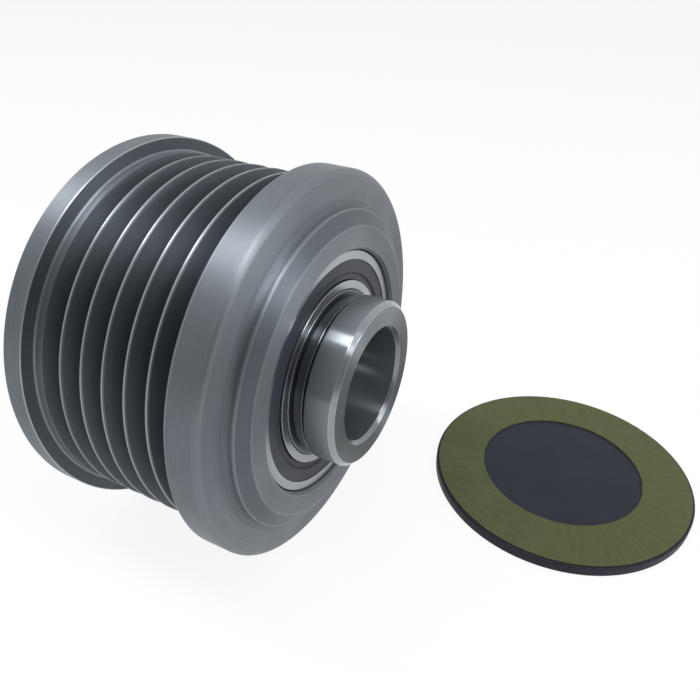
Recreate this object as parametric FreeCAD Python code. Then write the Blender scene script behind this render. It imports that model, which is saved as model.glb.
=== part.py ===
"""Alternator pulley: a six-groove belt pulley that drives its shaft through a one-way clutch.

The shaft axis is the Y axis, +Z is up, and the nose that goes against the alternator points to -Y.
The origin is on the axis, in the mid-plane of the six grooves. The pulley lies on the rims of its
two flanges, and its dust cap lies flat beside the nose, on the same surface.

Lengths are in millimetres and angles in degrees. A place along the shaft is a station: the distance
from the mid-plane of the grooves, counted towards the nose, so a station s lies at y = -s.
"""
import FreeCAD, Part
import math
import os

# Ball bearings, one at each end of the bore, from the bore outwards
BEARING_BORE_RADIUS = 12.5
INNER_RING_LAND = 1.45
SEAL_WIDTH = 3.05
OUTER_RING_RIM = 1.5
BEARING_CHAMFER = 0.3
BALL_COUNT = 16
BALL_RADIUS = 1.75
BALL_PLAY = 0.1
RACE_SHOULDER = 1.1
SEAL_LIP_PLAY = 0.08
SEAL_SEAT_PLAY = 0.1
SEAL_RECESS = 0.15
SEAL_THICKNESS = 0.9
SEAL_STEP = 0.2
BALL_CAGE_GAP = 0.35
BALL_CAGE_MOUTH = 0.9
BALL_CAGE_BACK = 0.4
BALL_CAGE_SEAL_GAP = 0.2
NOSE_BEARING_INSET = 0.73
CAP_BEARING_INSET = 0.7

# Belt track, over the bearing bore of the pulley ring
TRACK_WALL = 5.26
GROOVE_COUNT = 6
GROOVE_PITCH = 3.56
GROOVE_ANGLE = 40.0
GROOVE_ROOT_RADIUS = 0.5
CREST_WIDTH = 0.48

# Flanges and nose boss of the pulley ring
FLANGE_HEIGHT = 1.97
CAP_FLANGE_WIDTH = 3.43
CAP_FLANGE_LAND = 1.16
CAP_FLANGE_DRAFT = 0.17
CAP_FLANGE_CHAMFER = 0.4
NOSE_FLANGE_WIDTH = 4.62
NOSE_FLANGE_CHAMFER = 0.8
NOSE_RIM_ROUND = 0.7
BOSS_WALL = 3.3
BOSS_TAPER_WIDTH = 2.2
BOSS_HEIGHT = 2.43
BOSS_TAPER_HEIGHT = 1.15
BOSS_FOOT_FILLET = 0.9
BORE_CHAMFER = 0.35

# One-way clutch between the two bearings
CLUTCH_RACE_THICKNESS = 2.05
CLUTCH_RACE_CHAMFER = 0.3
ROLLER_COUNT = 12
ROLLER_RADIUS = 1.25
ROLLER_LENGTH = 9.0
ROLLER_RACE_PLAY = 0.1
ROLLER_CAM_PLAY = 0.02
RAMP_ANGLE = 4.5
CLUTCH_CAGE_CAM_GAP = 0.18
CLUTCH_CAGE_RACE_GAP = 0.3
CLUTCH_CAGE_HUB_GAP = 0.15
CLUTCH_CAGE_WASHER = 0.8
CLUTCH_END_GAP = 0.5
CAGE_POCKET_PLAY = 0.1
SPRING_SPACE = 1.75
SPRING_LEGS = 4
SPRING_BEND_DEPTH = 0.4
SPRING_LENGTH = 6.0
SPRING_WALL_GAP = 0.05

# Hub on the alternator shaft
NOSE_REACH = 5.93
HUB_END_STAND_OUT = 0.2
HUB_END_CHAMFER = 0.4
COLLAR_RELIEF = 0.1
COLLAR_LENGTH = 4.6
COLLAR_NOSE_CHAMFER = 0.62
NECK_DEPTH = 0.65
NECK_GROOVE_DEPTH = 1.2
NECK_GROOVE_WIDTH = 0.4
HUB_WALL = 4.0
SPIGOT_BORE_LENGTH = 11.35
SPIGOT_MOUTH_CHAMFER = 0.5
SPIGOT_SHOULDER = 1.31
THREAD_LENGTH = 15.0
SOCKET_TEETH = 33
SOCKET_STEP = 0.56
SOCKET_TOOTH_DEPTH = 0.7
SOCKET_MOUTH_CHAMFER = 0.3
SOCKET_RELIEF_DEPTH = 0.25
SOCKET_RELIEF_WIDTH = 1.1

# Dust cap, lying with its sealing side up, and its seat in the pulley ring
CAP_SEAT_LEDGE = 4.8
CAP_SEAT_DEPTH = 2.5
CAP_SEAT_PLAY = 0.1
CAP_THICKNESS = 1.8
CAP_RIM_ROUND = 0.3
CAP_RIM_WIDTH = 0.45
CAP_DISH_RIM = 11.2
CAP_DISH_DEPTH = 0.4
CAP_DISH_DRAFT = 1.0
GASKET_WIDTH = 8.45
GASKET_THICKNESS = 0.8
GASKET_STAND_OUT = 0.25
CAP_PLACE_X = 28.8
CAP_PLACE_GAP = 11.3

# Radii worked out from the sizes above
SEAL_LAND_RADIUS = BEARING_BORE_RADIUS + INNER_RING_LAND
SEAL_OUTER_RADIUS = SEAL_LAND_RADIUS + SEAL_WIDTH
BEARING_OUTER_RADIUS = SEAL_OUTER_RADIUS + OUTER_RING_RIM
PITCH_RADIUS = (BEARING_BORE_RADIUS + BEARING_OUTER_RADIUS) / 2
RACEWAY_RADIUS = BALL_RADIUS + BALL_PLAY
RACEWAY_HALF_WIDTH = math.sqrt(RACEWAY_RADIUS ** 2 - RACE_SHOULDER ** 2)
HALF_ANGLE = math.radians(GROOVE_ANGLE / 2)
FLANK_RUN = (GROOVE_PITCH - CREST_WIDTH) / 2
ROOT_CENTRE_DEPTH = FLANK_RUN / math.tan(HALF_ANGLE) - GROOVE_ROOT_RADIUS / math.sin(HALF_ANGLE)
GROOVE_DEPTH = ROOT_CENTRE_DEPTH + GROOVE_ROOT_RADIUS
CREST_RADIUS = BEARING_OUTER_RADIUS + TRACK_WALL + GROOVE_DEPTH
FLANGE_RADIUS = CREST_RADIUS + FLANGE_HEIGHT
BOSS_FACE_RADIUS = BEARING_OUTER_RADIUS + BOSS_WALL
BOSS_FOOT_RADIUS = BOSS_FACE_RADIUS + BOSS_TAPER_WIDTH
CLUTCH_TRACK_RADIUS = BEARING_OUTER_RADIUS - CLUTCH_RACE_THICKNESS
ROLLER_CIRCLE = CLUTCH_TRACK_RADIUS - ROLLER_RACE_PLAY - ROLLER_RADIUS
RAMP_TILT = math.radians(RAMP_ANGLE)
RAMP_HALF_STEP = 180.0 / ROLLER_COUNT
RAMP_REACH = ROLLER_CIRCLE * math.cos(RAMP_TILT) - ROLLER_RADIUS - ROLLER_CAM_PLAY
CAM_TIP_RADIUS = RAMP_REACH / math.cos(math.radians(RAMP_HALF_STEP) + RAMP_TILT)
CLUTCH_CAGE_INNER_RADIUS = CAM_TIP_RADIUS + CLUTCH_CAGE_CAM_GAP
CLUTCH_CAGE_OUTER_RADIUS = CLUTCH_TRACK_RADIUS - CLUTCH_CAGE_RACE_GAP
COLLAR_RADIUS = BEARING_BORE_RADIUS - COLLAR_RELIEF
NECK_RADIUS = BEARING_BORE_RADIUS - NECK_DEPTH
NECK_GROOVE_RADIUS = BEARING_BORE_RADIUS - NECK_GROOVE_DEPTH
SPIGOT_BORE_RADIUS = BEARING_BORE_RADIUS - HUB_WALL
THREAD_BORE_RADIUS = SPIGOT_BORE_RADIUS - SPIGOT_SHOULDER
SOCKET_TIP_RADIUS = THREAD_BORE_RADIUS + SOCKET_STEP
SOCKET_ROOT_RADIUS = SOCKET_TIP_RADIUS + SOCKET_TOOTH_DEPTH
SOCKET_RELIEF_RADIUS = SOCKET_ROOT_RADIUS + SOCKET_RELIEF_DEPTH
CAP_SEAT_RADIUS = BEARING_OUTER_RADIUS + CAP_SEAT_LEDGE
CAP_RADIUS = CAP_SEAT_RADIUS - CAP_SEAT_PLAY
CAP_DISH_RADIUS = CAP_RADIUS - CAP_DISH_RIM
GASKET_OUTER_RADIUS = CAP_RADIUS - CAP_RIM_WIDTH
GASKET_INNER_RADIUS = GASKET_OUTER_RADIUS - GASKET_WIDTH

# Stations worked out from the sizes above
SEAL_DEPTH = SEAL_RECESS + SEAL_THICKNESS
SEAL_SEAT_DEPTH = SEAL_DEPTH + SEAL_SEAT_PLAY
BEARING_WIDTH = 2 * (RACEWAY_RADIUS + BALL_CAGE_BACK + BALL_CAGE_SEAL_GAP + SEAL_DEPTH)
TRACK_HALF = GROOVE_PITCH * GROOVE_COUNT / 2 - CREST_WIDTH / 2
CAP_WALL_FOOT = -TRACK_HALF - CAP_FLANGE_LAND
CAP_WALL_TOP = CAP_WALL_FOOT - CAP_FLANGE_DRAFT
CAP_END = CAP_WALL_TOP - CAP_FLANGE_WIDTH
NOSE_WALL_TOP = TRACK_HALF + (FLANGE_HEIGHT - NOSE_FLANGE_CHAMFER) * math.tan(HALF_ANGLE)
NOSE_RIM_EDGE = NOSE_WALL_TOP + NOSE_FLANGE_CHAMFER
NOSE_FACE = NOSE_RIM_EDGE + NOSE_FLANGE_WIDTH
BOSS_FACE = NOSE_FACE + BOSS_HEIGHT
CAP_SEAT_FLOOR = CAP_END + CAP_SEAT_DEPTH
CAP_BEARING_FACE = CAP_SEAT_FLOOR + CAP_BEARING_INSET
NOSE_BEARING_FACE = BOSS_FACE - NOSE_BEARING_INSET
CLUTCH_START = CAP_BEARING_FACE + BEARING_WIDTH
CLUTCH_END = NOSE_BEARING_FACE - BEARING_WIDTH - CLUTCH_END_GAP
CAM_END = CLUTCH_END - CLUTCH_CAGE_WASHER
ROLLER_MIDDLE = (CLUTCH_START + CAM_END) / 2
HUB_CAP_END = CAP_BEARING_FACE - HUB_END_STAND_OUT
HUB_NOSE_END = BOSS_FACE + NOSE_REACH
SPIGOT_BORE_START = HUB_NOSE_END - SPIGOT_MOUTH_CHAMFER - SPIGOT_BORE_LENGTH
THREAD_END = SPIGOT_BORE_START - SPIGOT_SHOULDER
THREAD_START = THREAD_END - THREAD_LENGTH
SOCKET_RELIEF_END = THREAD_START - (SOCKET_RELIEF_RADIUS - THREAD_BORE_RADIUS)
SOCKET_RELIEF_START = SOCKET_RELIEF_END - SOCKET_RELIEF_WIDTH

# Heights in the dust cap, from the side that lies on the floor
GASKET_BED = CAP_THICKNESS + GASKET_STAND_OUT - GASKET_THICKNESS
FLOOR = -FLANGE_RADIUS

# Directions
ORIGIN = FreeCAD.Vector(0, 0, 0)
NOSE = FreeCAD.Vector(0, -1, 0)
OUTWARD = FreeCAD.Vector(1, 0, 0)


def point(station, radius):
    """A corner of a section that lies in the half plane above the shaft axis."""
    return FreeCAD.Vector(0, -station, radius)


def around(station, radius, degrees):
    """A point at a station, at a radius and an angle round the shaft axis."""
    angle = math.radians(degrees)
    return FreeCAD.Vector(radius * math.cos(angle), -station, radius * math.sin(angle))


class Section:
    """A closed outline beside an axis, drawn corner by corner and then turned into a solid."""

    def __init__(self, station, radius):
        self.first = point(station, radius)
        self.last = self.first
        self.edges = []

    def line(self, *corners):
        """Draw straight lines through corners given as (station, radius)."""
        for station, radius in corners:
            corner = point(station, radius)
            self.edges.append(Part.makeLine(self.last, corner))
            self.last = corner
        return self

    def arc(self, middle, end):
        """Draw an arc through a middle point to an end point, each given as (station, radius)."""
        curve = Part.Arc(self.last, point(*middle), point(*end))
        self.edges.append(curve.toShape())
        self.last = point(*end)
        return self

    def turned(self):
        """Close the outline and turn it once round the shaft axis."""
        self.edges.append(Part.makeLine(self.last, self.first))
        face = Part.Face(Part.Wire(self.edges))
        return face.revolve(ORIGIN, NOSE, 360)


def corner_round(section, corner, toward, radius, before):
    """Round a square corner between an axial and a radial side with a quarter arc.

    corner is the sharp corner, toward the signs of the step from it to the arc's centre, and before
    is "axial" where the outline reaches the corner along the shaft.
    """
    station, height = corner
    side, drop = toward
    centre = (station + side * radius, height + drop * radius)
    axial = (centre[0], height)
    radial = (station, centre[1])
    diagonal = radius * math.sqrt(0.5)
    middle = (centre[0] - side * diagonal, centre[1] - drop * diagonal)
    start, end = (axial, radial) if before == "axial" else (radial, axial)
    section.line(start)
    section.arc(middle, end)
    return section


def tube(start, end, inner, outer):
    """A plain ring between two stations."""
    return Section(start, inner).line((end, inner), (end, outer), (start, outer)).turned()


def drilled_round(start, end, radius):
    """A cylinder on the shaft axis between two stations, for cutting a hole."""
    return Part.makeCylinder(radius, end - start, point(start, 0), NOSE)


def spaced(shape, count):
    """Copies of a shape, evenly spaced round the shaft axis."""
    copies = []
    for index in range(count):
        copy = shape.copy()
        copy.rotate(ORIGIN, NOSE, 360.0 * index / count)
        copies.append(copy)
    return copies


def pulley_ring():
    """The pulley: belt track, two flanges, nose boss, bearing bore and seat for the dust cap."""
    section = Section(CAP_END, CAP_SEAT_RADIUS + BORE_CHAMFER)
    section.line(
        (CAP_END, FLANGE_RADIUS - CAP_FLANGE_CHAMFER),
        (CAP_END + CAP_FLANGE_CHAMFER, FLANGE_RADIUS),
        (CAP_WALL_TOP, FLANGE_RADIUS),
        (CAP_WALL_FOOT, CREST_RADIUS),
    )
    draw_grooves(section)
    section.line((NOSE_WALL_TOP, FLANGE_RADIUS - NOSE_FLANGE_CHAMFER), (NOSE_RIM_EDGE, FLANGE_RADIUS))
    corner_round(section, (NOSE_FACE, FLANGE_RADIUS), (-1, -1), NOSE_RIM_ROUND, "axial")
    corner_round(section, (NOSE_FACE, BOSS_FOOT_RADIUS), (1, 1), BOSS_FOOT_FILLET, "radial")
    section.line(
        (BOSS_FACE - BOSS_TAPER_HEIGHT, BOSS_FOOT_RADIUS),
        (BOSS_FACE, BOSS_FACE_RADIUS),
        (BOSS_FACE, BEARING_OUTER_RADIUS + BORE_CHAMFER),
        (BOSS_FACE - BORE_CHAMFER, BEARING_OUTER_RADIUS),
        (CAP_SEAT_FLOOR, BEARING_OUTER_RADIUS),
        (CAP_SEAT_FLOOR, CAP_SEAT_RADIUS),
        (CAP_END + BORE_CHAMFER, CAP_SEAT_RADIUS),
    )
    return section.turned()


def draw_grooves(section):
    """Draw the V grooves, each with straight flanks and a round root, from the cap side on."""
    root_centre = CREST_RADIUS - ROOT_CENTRE_DEPTH
    flank_foot = root_centre - GROOVE_ROOT_RADIUS * math.sin(HALF_ANGLE)
    foot_offset = GROOVE_ROOT_RADIUS * math.cos(HALF_ANGLE)
    for index in range(GROOVE_COUNT):
        centre = (index - (GROOVE_COUNT - 1) / 2) * GROOVE_PITCH
        section.line((centre - FLANK_RUN, CREST_RADIUS), (centre - foot_offset, flank_foot))
        section.arc((centre, root_centre - GROOVE_ROOT_RADIUS), (centre + foot_offset, flank_foot))
        if index < GROOVE_COUNT - 1:
            section.line((centre + FLANK_RUN, CREST_RADIUS))


def bearing_outer_ring(face):
    """The outer ring of the ball bearing whose nose-side face is at a station."""
    back = face - BEARING_WIDTH
    middle = face - BEARING_WIDTH / 2
    shoulder = PITCH_RADIUS + RACE_SHOULDER
    section = Section(back + BEARING_CHAMFER, BEARING_OUTER_RADIUS)
    section.line(
        (face - BEARING_CHAMFER, BEARING_OUTER_RADIUS),
        (face, BEARING_OUTER_RADIUS - BEARING_CHAMFER),
        (face, SEAL_OUTER_RADIUS),
        (face - SEAL_SEAT_DEPTH, SEAL_OUTER_RADIUS),
        (face - SEAL_SEAT_DEPTH, shoulder),
        (middle + RACEWAY_HALF_WIDTH, shoulder),
    )
    section.arc((middle, PITCH_RADIUS + RACEWAY_RADIUS), (middle - RACEWAY_HALF_WIDTH, shoulder))
    section.line(
        (back + SEAL_SEAT_DEPTH, shoulder),
        (back + SEAL_SEAT_DEPTH, SEAL_OUTER_RADIUS),
        (back, SEAL_OUTER_RADIUS),
        (back, BEARING_OUTER_RADIUS - BEARING_CHAMFER),
    )
    return section.turned()


def bearing_inner_ring(face):
    """The inner ring of the ball bearing whose nose-side face is at a station."""
    back = face - BEARING_WIDTH
    middle = face - BEARING_WIDTH / 2
    shoulder = PITCH_RADIUS - RACE_SHOULDER
    section = Section(back + BEARING_CHAMFER, BEARING_BORE_RADIUS)
    section.line(
        (face - BEARING_CHAMFER, BEARING_BORE_RADIUS),
        (face, BEARING_BORE_RADIUS + BEARING_CHAMFER),
        (face, SEAL_LAND_RADIUS),
        (face - SEAL_SEAT_DEPTH, SEAL_LAND_RADIUS),
        (face - SEAL_SEAT_DEPTH, shoulder),
        (middle + RACEWAY_HALF_WIDTH, shoulder),
    )
    section.arc((middle, PITCH_RADIUS - RACEWAY_RADIUS), (middle - RACEWAY_HALF_WIDTH, shoulder))
    section.line(
        (back + SEAL_SEAT_DEPTH, shoulder),
        (back + SEAL_SEAT_DEPTH, SEAL_LAND_RADIUS),
        (back, SEAL_LAND_RADIUS),
        (back, BEARING_BORE_RADIUS + BEARING_CHAMFER),
    )
    return section.turned()


def bearing_balls(face):
    """The balls of a bearing, free of the raceways by the ball play."""
    ball = Part.makeSphere(BALL_RADIUS, around(face - BEARING_WIDTH / 2, PITCH_RADIUS, 0))
    return Part.makeCompound(spaced(ball, BALL_COUNT))


def bearing_cage(face, open_side):
    """The snap-in crown cage: a ring whose ball pockets break through its open side.

    open_side is 1 where the pockets open towards the nose, and -1 where they open the other way.
    """
    middle = face - BEARING_WIDTH / 2
    mouth = middle + open_side * BALL_CAGE_MOUTH
    back = middle - open_side * (RACEWAY_RADIUS + BALL_CAGE_BACK)
    inner = PITCH_RADIUS - RACE_SHOULDER + BALL_CAGE_GAP
    outer = PITCH_RADIUS + RACE_SHOULDER - BALL_CAGE_GAP
    ring = tube(min(mouth, back), max(mouth, back), inner, outer)
    pocket_start = around(middle, inner - RACE_SHOULDER, 0)
    pocket = Part.makeCylinder(RACEWAY_RADIUS, outer - inner + 2 * RACE_SHOULDER, pocket_start, OUTWARD)
    return ring.cut(spaced(pocket, BALL_COUNT))


def bearing_seal(face, outward):
    """A rubber seal seated in an outer ring, with a step where its metal core ends.

    face is the station of the bearing face that the seal closes, and outward is 1 where that face
    looks to the nose and -1 where it looks the other way.
    """
    outside = face - outward * SEAL_RECESS
    step = outside - outward * SEAL_STEP
    inside = outside - outward * SEAL_THICKNESS
    lip = SEAL_LAND_RADIUS + SEAL_LIP_PLAY
    lip_width = (SEAL_OUTER_RADIUS - lip) / 4
    section = Section(step, lip)
    section.line(
        (step, lip + lip_width),
        (outside, lip + 1.5 * lip_width),
        (outside, SEAL_OUTER_RADIUS),
        (inside, SEAL_OUTER_RADIUS),
        (inside, lip),
    )
    return section.turned()


def clutch_outer_race():
    """The hardened sleeve that is pressed into the pulley ring and that the rollers run in."""
    section = Section(CLUTCH_START + CLUTCH_RACE_CHAMFER, CLUTCH_TRACK_RADIUS)
    section.line(
        (CLUTCH_END - CLUTCH_RACE_CHAMFER, CLUTCH_TRACK_RADIUS),
        (CLUTCH_END, CLUTCH_TRACK_RADIUS + CLUTCH_RACE_CHAMFER),
        (CLUTCH_END, BEARING_OUTER_RADIUS - CLUTCH_RACE_CHAMFER),
        (CLUTCH_END - CLUTCH_RACE_CHAMFER, BEARING_OUTER_RADIUS),
        (CLUTCH_START + CLUTCH_RACE_CHAMFER, BEARING_OUTER_RADIUS),
        (CLUTCH_START, BEARING_OUTER_RADIUS - CLUTCH_RACE_CHAMFER),
        (CLUTCH_START, CLUTCH_TRACK_RADIUS + CLUTCH_RACE_CHAMFER),
    )
    return section.turned()


def clutch_inner_race():
    """The cam ring on the hub: one flat ramp for each roller, with a step between ramps."""
    corners = []
    for index in range(ROLLER_COUNT):
        for side in (-1, 1):
            lean = math.radians(side * RAMP_HALF_STEP) + RAMP_TILT
            angle = (2 * index + side) * RAMP_HALF_STEP
            corners.append(around(CLUTCH_START, RAMP_REACH / math.cos(lean), angle))
    outline = Part.makePolygon(corners + corners[:1])
    cam = Part.Face(outline).extrude(NOSE * (CAM_END - CLUTCH_START))
    return cam.cut(drilled_round(CLUTCH_START - 1, CAM_END + 1, BEARING_BORE_RADIUS))


def clutch_rollers():
    """The rollers, each resting on its ramp."""
    start = around(ROLLER_MIDDLE - ROLLER_LENGTH / 2, ROLLER_CIRCLE, 0)
    roller = Part.makeCylinder(ROLLER_RADIUS, ROLLER_LENGTH, start, NOSE)
    return Part.makeCompound(spaced(roller, ROLLER_COUNT))


def clutch_cage():
    """The cage: a sleeve with a window for each roller and its spring, and a washer on the cam ring."""
    washer_bore = BEARING_BORE_RADIUS + CLUTCH_CAGE_HUB_GAP
    sleeve = Section(CLUTCH_START + CLUTCH_END_GAP, CLUTCH_CAGE_INNER_RADIUS)
    sleeve.line(
        (CAM_END, CLUTCH_CAGE_INNER_RADIUS),
        (CAM_END, washer_bore),
        (CLUTCH_END, washer_bore),
        (CLUTCH_END, CLUTCH_CAGE_OUTER_RADIUS),
        (CLUTCH_START + CLUTCH_END_GAP, CLUTCH_CAGE_OUTER_RADIUS),
    )
    half_width = ROLLER_RADIUS + CAGE_POCKET_PLAY
    length = ROLLER_LENGTH + 2 * CAGE_POCKET_PLAY
    corner = around(ROLLER_MIDDLE + length / 2, washer_bore, 0)
    corner.z = -half_width - SPRING_SPACE
    depth = BEARING_OUTER_RADIUS - washer_bore
    window = Part.makeBox(depth, length, 2 * half_width + SPRING_SPACE, corner)
    return sleeve.turned().cut(spaced(window, ROLLER_COUNT))


def clutch_springs():
    """The folded leaf springs that push each roller up its ramp."""
    near = ROLLER_RADIUS + CAGE_POCKET_PLAY + SPRING_WALL_GAP
    far = near + SPRING_SPACE - 2 * SPRING_WALL_GAP
    low = CLUTCH_CAGE_INNER_RADIUS + SPRING_WALL_GAP
    high = CLUTCH_CAGE_OUTER_RADIUS - SPRING_WALL_GAP - SPRING_BEND_DEPTH
    start = ROLLER_MIDDLE - SPRING_LENGTH / 2
    folds = []
    for index in range(SPRING_LEGS + 1):
        across = -far + (far - near) * index / SPRING_LEGS
        folds.append(FreeCAD.Vector(low if index % 2 else high, -start, across))
    bend = OUTWARD * SPRING_BEND_DEPTH
    outside = [fold + bend for fold in reversed(folds)]
    outline = Part.makePolygon(folds + outside + folds[:1])
    spring = Part.Face(outline).extrude(NOSE * SPRING_LENGTH)
    return Part.makeCompound(spaced(spring, ROLLER_COUNT))


def hub():
    """The hub: nose collar and neck, seats for bearings and cam ring, bores, thread and socket."""
    collar_start = HUB_NOSE_END - COLLAR_LENGTH
    neck_end = collar_start - NECK_GROOVE_WIDTH
    neck_start = NOSE_BEARING_FACE + NECK_GROOVE_WIDTH
    section = Section(HUB_CAP_END, THREAD_BORE_RADIUS)
    section.line(
        (HUB_CAP_END, BEARING_BORE_RADIUS - HUB_END_CHAMFER),
        (HUB_CAP_END + HUB_END_CHAMFER, BEARING_BORE_RADIUS),
        (NOSE_BEARING_FACE, BEARING_BORE_RADIUS),
        (NOSE_BEARING_FACE, NECK_GROOVE_RADIUS),
        (neck_start, NECK_GROOVE_RADIUS),
        (neck_start, NECK_RADIUS),
        (neck_end, NECK_RADIUS),
        (neck_end, NECK_GROOVE_RADIUS),
        (collar_start, NECK_GROOVE_RADIUS),
        (collar_start, COLLAR_RADIUS - BORE_CHAMFER),
        (collar_start + BORE_CHAMFER, COLLAR_RADIUS),
        (HUB_NOSE_END - COLLAR_NOSE_CHAMFER, COLLAR_RADIUS),
        (HUB_NOSE_END, COLLAR_RADIUS - COLLAR_NOSE_CHAMFER),
        (HUB_NOSE_END, SPIGOT_BORE_RADIUS + SPIGOT_MOUTH_CHAMFER),
        (HUB_NOSE_END - SPIGOT_MOUTH_CHAMFER, SPIGOT_BORE_RADIUS),
        (SPIGOT_BORE_START, SPIGOT_BORE_RADIUS),
        (THREAD_END, THREAD_BORE_RADIUS),
    )
    return section.turned().cut(socket_cutter())


def socket_cutter():
    """The splined tool socket at the cap end, with its mouth and the relief behind the teeth."""
    corners = []
    for index in range(2 * SOCKET_TEETH):
        radius = SOCKET_ROOT_RADIUS if index % 2 else SOCKET_TIP_RADIUS
        corners.append(around(HUB_CAP_END, radius, 180.0 * index / SOCKET_TEETH))
    star = Part.Face(Part.makePolygon(corners + corners[:1]))
    splines = star.extrude(NOSE * (SOCKET_RELIEF_END - HUB_CAP_END))
    relief = Section(SOCKET_RELIEF_START, 0)
    relief.line(
        (SOCKET_RELIEF_START, SOCKET_RELIEF_RADIUS),
        (SOCKET_RELIEF_END, SOCKET_RELIEF_RADIUS),
        (THREAD_START, THREAD_BORE_RADIUS),
        (THREAD_START, 0),
    )
    mouth_end = HUB_CAP_END + SOCKET_MOUTH_CHAMFER + SOCKET_TOOTH_DEPTH
    mouth = Section(HUB_CAP_END, 0)
    mouth.line(
        (HUB_CAP_END, SOCKET_ROOT_RADIUS + SOCKET_MOUTH_CHAMFER),
        (mouth_end, SOCKET_TIP_RADIUS),
        (mouth_end, 0),
    )
    return [splines, relief.turned(), mouth.turned()]


def cap_turned(section):
    """Turn a cap section once round and lay it on the floor, station 0 down, beside the nose."""
    shape = section.turned()
    shape.rotate(ORIGIN, FreeCAD.Vector(1, 0, 0), -90)
    shape.translate(FreeCAD.Vector(CAP_PLACE_X, -NOSE_FACE - CAP_PLACE_GAP - CAP_RADIUS, FLOOR))
    return shape


def dust_cap():
    """The moulded cap: a disc with a dished outside and a channel for its gasket."""
    section = Section(CAP_DISH_DEPTH, 0)
    section.line((CAP_DISH_DEPTH, CAP_DISH_RADIUS - CAP_DISH_DRAFT), (0, CAP_DISH_RADIUS))
    corner_round(section, (0, CAP_RADIUS), (1, -1), CAP_RIM_ROUND, "radial")
    corner_round(section, (CAP_THICKNESS, CAP_RADIUS), (-1, -1), CAP_RIM_ROUND, "axial")
    section.line(
        (CAP_THICKNESS, GASKET_OUTER_RADIUS),
        (GASKET_BED, GASKET_OUTER_RADIUS),
        (GASKET_BED, GASKET_INNER_RADIUS),
        (CAP_THICKNESS, GASKET_INNER_RADIUS),
        (CAP_THICKNESS, 0),
    )
    return cap_turned(section)


def dust_cap_gasket():
    """The flat ring gasket in the channel of the dust cap."""
    section = Section(GASKET_BED, GASKET_INNER_RADIUS)
    section.line(
        (GASKET_BED, GASKET_OUTER_RADIUS),
        (GASKET_BED + GASKET_THICKNESS, GASKET_OUTER_RADIUS),
        (GASKET_BED + GASKET_THICKNESS, GASKET_INNER_RADIUS),
    )
    return cap_turned(section)


def bearing(name, face, cage_opens):
    """The six pieces of a sealed ball bearing, by node name."""
    return {
        name + "_outer_ring": bearing_outer_ring(face),
        name + "_inner_ring": bearing_inner_ring(face),
        name + "_balls": bearing_balls(face),
        name + "_cage": bearing_cage(face, cage_opens),
        name + "_nose_side_seal": bearing_seal(face, 1),
        name + "_cap_side_seal": bearing_seal(face - BEARING_WIDTH, -1),
    }


def all_pieces():
    """Every piece of the pulley, by node name."""
    pieces = {
        "pulley_ring": pulley_ring(),
        "hub": hub(),
        "clutch_outer_race": clutch_outer_race(),
        "clutch_inner_race": clutch_inner_race(),
        "clutch_rollers": clutch_rollers(),
        "clutch_cage": clutch_cage(),
        "clutch_springs": clutch_springs(),
        "dust_cap": dust_cap(),
        "dust_cap_gasket": dust_cap_gasket(),
    }
    pieces.update(bearing("nose_bearing", NOSE_BEARING_FACE, -1))
    pieces.update(bearing("cap_bearing", CAP_BEARING_FACE + BEARING_WIDTH, 1))
    return pieces


def main():
    """Build every piece and write it to its own file."""
    os.makedirs("parts", exist_ok=True)
    for name, shape in all_pieces().items():
        shape.exportStep("parts/" + name + ".step")
        print(name, "solids", len(shape.Solids), "volume", round(shape.Volume, 2), shape.isValid())


main()
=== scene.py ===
"""Looks of the alternator pulley: turned ring, ball bearings, threaded hub and loose dust cap.

The scene is in metres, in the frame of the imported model: the shaft axis is Y, the nose points to -Y
and +Z is up. Sizes in the classes are in millimetres. A station is a distance along the shaft from
the mid-plane of the belt grooves, counted towards the nose, so station s lies at y = -s.
"""
import logging
import math
from dataclasses import dataclass, field, replace
from enum import Enum

import bmesh
import bpy
from bpy.types import ID, Material, Node, NodeOutputs, NodeSocket as Socket, NodeTree, Object
from mathutils import Matrix, Vector

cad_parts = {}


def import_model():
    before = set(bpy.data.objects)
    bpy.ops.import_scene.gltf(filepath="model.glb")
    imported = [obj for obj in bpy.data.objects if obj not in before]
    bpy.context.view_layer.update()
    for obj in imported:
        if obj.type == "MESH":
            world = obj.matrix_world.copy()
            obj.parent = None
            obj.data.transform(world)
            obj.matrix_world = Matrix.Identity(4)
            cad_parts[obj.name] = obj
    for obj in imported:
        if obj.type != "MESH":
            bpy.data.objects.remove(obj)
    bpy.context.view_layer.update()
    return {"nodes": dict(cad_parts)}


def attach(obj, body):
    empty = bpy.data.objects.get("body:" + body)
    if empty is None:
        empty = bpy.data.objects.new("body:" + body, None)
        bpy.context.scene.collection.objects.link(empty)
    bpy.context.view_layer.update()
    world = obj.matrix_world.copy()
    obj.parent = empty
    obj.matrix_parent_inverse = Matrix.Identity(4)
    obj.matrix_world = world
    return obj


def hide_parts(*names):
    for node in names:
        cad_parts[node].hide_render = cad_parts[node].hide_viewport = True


LOG = logging.getLogger("alternator_pulley")
MM = 0.001
# Point mark from -1 to 1: below 0 it paints shade into corners and recesses, above 0 it brightens edges,
# partly as rubbing and partly as a painted highlight.
WEAR_AND_PAINTED_LIGHT = "edge_wear"
MERGE_DISTANCE = 1e-7
ACROSS_THE_RINGS = 0.25
WHITE = (1.0, 1.0, 1.0, 1.0)
SHAFT_AXIS = (0.0, 1.0, 0.0)
FLANGE_RADIUS = 28.9992
BEARING_BORE_RADIUS = 12.5
BEARING_OUTER_RADIUS = 18.5
NOSE_BEARING_FACE = 17.986
CAP_BEARING_FACE = -12.0
CAP_CENTRE = (28.8, -50.786)
FLOOR_HEIGHT = -FLANGE_RADIUS

Pair = tuple[float, float]
Triple = Colour = tuple[float, float, float]


class Body(Enum):
    """The moving bodies that pieces ride on."""

    PULLEY = "pulley"
    HUB = "shaft_hub"


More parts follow.
